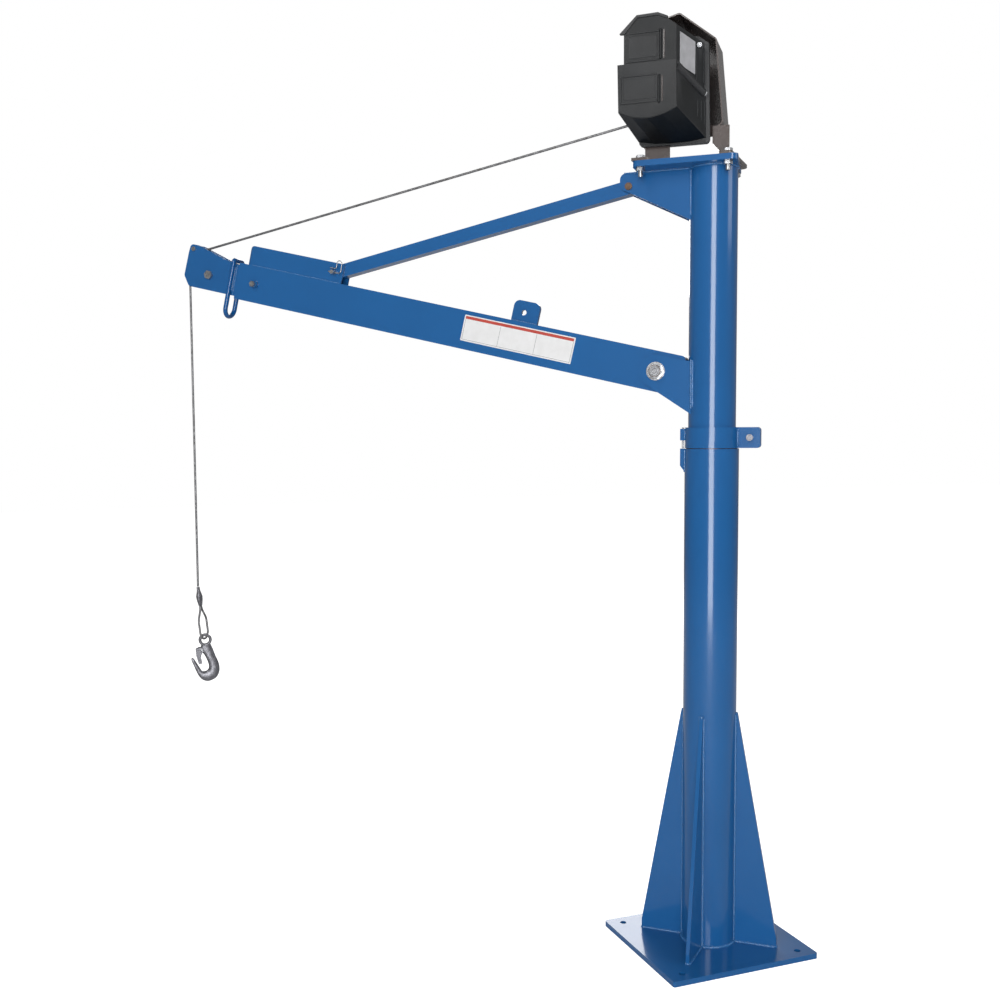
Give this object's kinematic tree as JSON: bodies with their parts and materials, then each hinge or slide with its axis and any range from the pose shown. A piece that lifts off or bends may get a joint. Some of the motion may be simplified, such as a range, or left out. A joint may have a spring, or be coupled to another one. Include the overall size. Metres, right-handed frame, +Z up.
{
  "type": "pedestal jib crane",
  "caption": "Pedestal jib crane with turning mast, propped telescoping boom, head sheave, electric winch and wire rope with a hook.",
  "frame": {"origin": "centre of the anchor hole pattern at the underside of the base plate, on the mast axis", "axes": "+Z up along the mast, +X along the long side of the base plate; the boom points at 140 degrees from +X towards +Y"},
  "size_m": [1.2002, 1.0173, 2.0261],
  "materials": {
    "blue_paint": "gloss",
    "zinc_steel": "zinc plated",
    "galvanised_steel": "galvanised, slightly dull",
    "rope_wire": "stranded galvanised wire",
    "black_enamel": "gloss black-brown enamel",
    "black_plastic": "semi-gloss moulded",
    "white_placard": "printed film without lettering",
    "silver_label": "blank foil",
    "brown_pin": "oiled dark steel"
  },
  "bodies": {
    "pedestal": {"base_plate": "blue_paint", "pedestal_tube": "blue_paint", "thrust_washer": "zinc_steel", "gusset_back_left": "blue_paint", "gusset_back_right": "blue_paint", "gusset_front_left": "blue_paint", "gusset_front_right": "blue_paint", "pedestal_lock_lug": "blue_paint"},
    "lock_pin": {"swing_lock_pin": "zinc_steel"},
    "mast": {"mast_tube": "blue_paint", "clamp_collar": "blue_paint", "collar_lock_lug": "blue_paint", "collar_pinch_bolt": "zinc_steel", "boom_bracket_near": "blue_paint", "boom_bracket_far": "blue_paint", "pivot_bolt": "zinc_steel", "pivot_nut": "zinc_steel", "pivot_washers": "zinc_steel", "outer_boom": "blue_paint", "boom_top_lug": "blue_paint", "strut_guard": "blue_paint", "boom_placard": "white_placard", "clamp_screw_boss": "blue_paint", "boom_clamp_screw": "zinc_steel", "strut": "blue_paint", "strut_upper_pin": "brown_pin", "strut_lower_pin": "zinc_steel", "hairpin_clip": "zinc_steel", "strut_bracket_near": "blue_paint", "strut_bracket_far": "blue_paint", "top_plate": "blue_paint", "winch_feet": "black_enamel", "winch_bolts": "zinc_steel", "winch_nuts": "zinc_steel", "winch_side_plate": "black_enamel", "winch_hood": "black_enamel", "motor_housing": "black_enamel", "winch_cover": "black_plastic", "winch_data_plate": "silver_label", "cover_screws": "zinc_steel"},
    "extension": {"inner_boom": "blue_paint", "head_cheek_near": "blue_paint", "head_cheek_far": "blue_paint", "sheave_axle": "blue_paint", "head_tie_bolt": "zinc_steel", "rope_keeper_pin": "zinc_steel", "anchor_loop": "blue_paint", "wire_rope": "rope_wire", "rope_ferrule": "galvanised_steel", "rope_loop": "rope_wire"},
    "sheave": {"sheave": "galvanised_steel"},
    "drum": {"rope_drum": "black_enamel", "drum_shaft": "zinc_steel", "rope_coil": "rope_wire", "drum_gear": "zinc_steel"},
    "motor": {"motor_pinion_shaft": "zinc_steel"},
    "hook": {"hook": "galvanised_steel", "hook_latch_pin": "zinc_steel", "hook_latch_springs": "zinc_steel"},
    "latch": {"hook_latch": "zinc_steel"}
  },
  "joints": [
    {"name": "swing", "type": "hinge", "parent": "pedestal", "child": "mast", "pos_m": [0, 0, 1.105], "axis": [0, 0, 1], "continuous": true},
    {"name": "lock_pin_lift", "type": "slide", "parent": "mast", "child": "lock_pin", "axis": [0, 0, -1], "range_m": [0, 0.021]},
    {"name": "boom_extend", "type": "slide", "parent": "mast", "child": "extension", "axis": [-0.7458, 0.6258, 0.2284], "range_m": [0, 0.3]},
    {"name": "sheave_spin", "type": "hinge", "parent": "extension", "child": "sheave", "pos_m": [-0.97755, 0.82026, 1.56364], "axis": [-0.6428, -0.766, 0], "continuous": true},
    {"name": "drum_spin", "type": "hinge", "parent": "mast", "child": "drum", "pos_m": [-0.06511, 0.05464, 1.85499], "axis": [-0.6428, -0.766, 0], "continuous": true},
    {"name": "motor_spin", "type": "hinge", "parent": "mast", "child": "motor", "pos_m": [-0.0835, 0.07006, 1.90998], "axis": [-0.6428, -0.766, 0], "continuous": true},
    {"name": "hook_swing", "type": "hinge", "parent": "extension", "child": "hook", "pos_m": [-0.98656, 0.83808, 0.61439], "axis": [-0.1045, -0.9945, 0], "range_deg": [-22, 22]},
    {"name": "latch_open", "type": "hinge", "parent": "hook", "child": "latch", "pos_m": [-0.99496, 0.83896, 0.58469], "axis": [-0.1045, -0.9945, 0], "range_deg": [0, 25], "stiffness_Nm_per_rad": 0.2, "springref_deg": -17.19}
  ],
  "couplings": [
    {"joint": "motor_spin", "follows": "drum_spin", "ratio": -4}
  ]
}
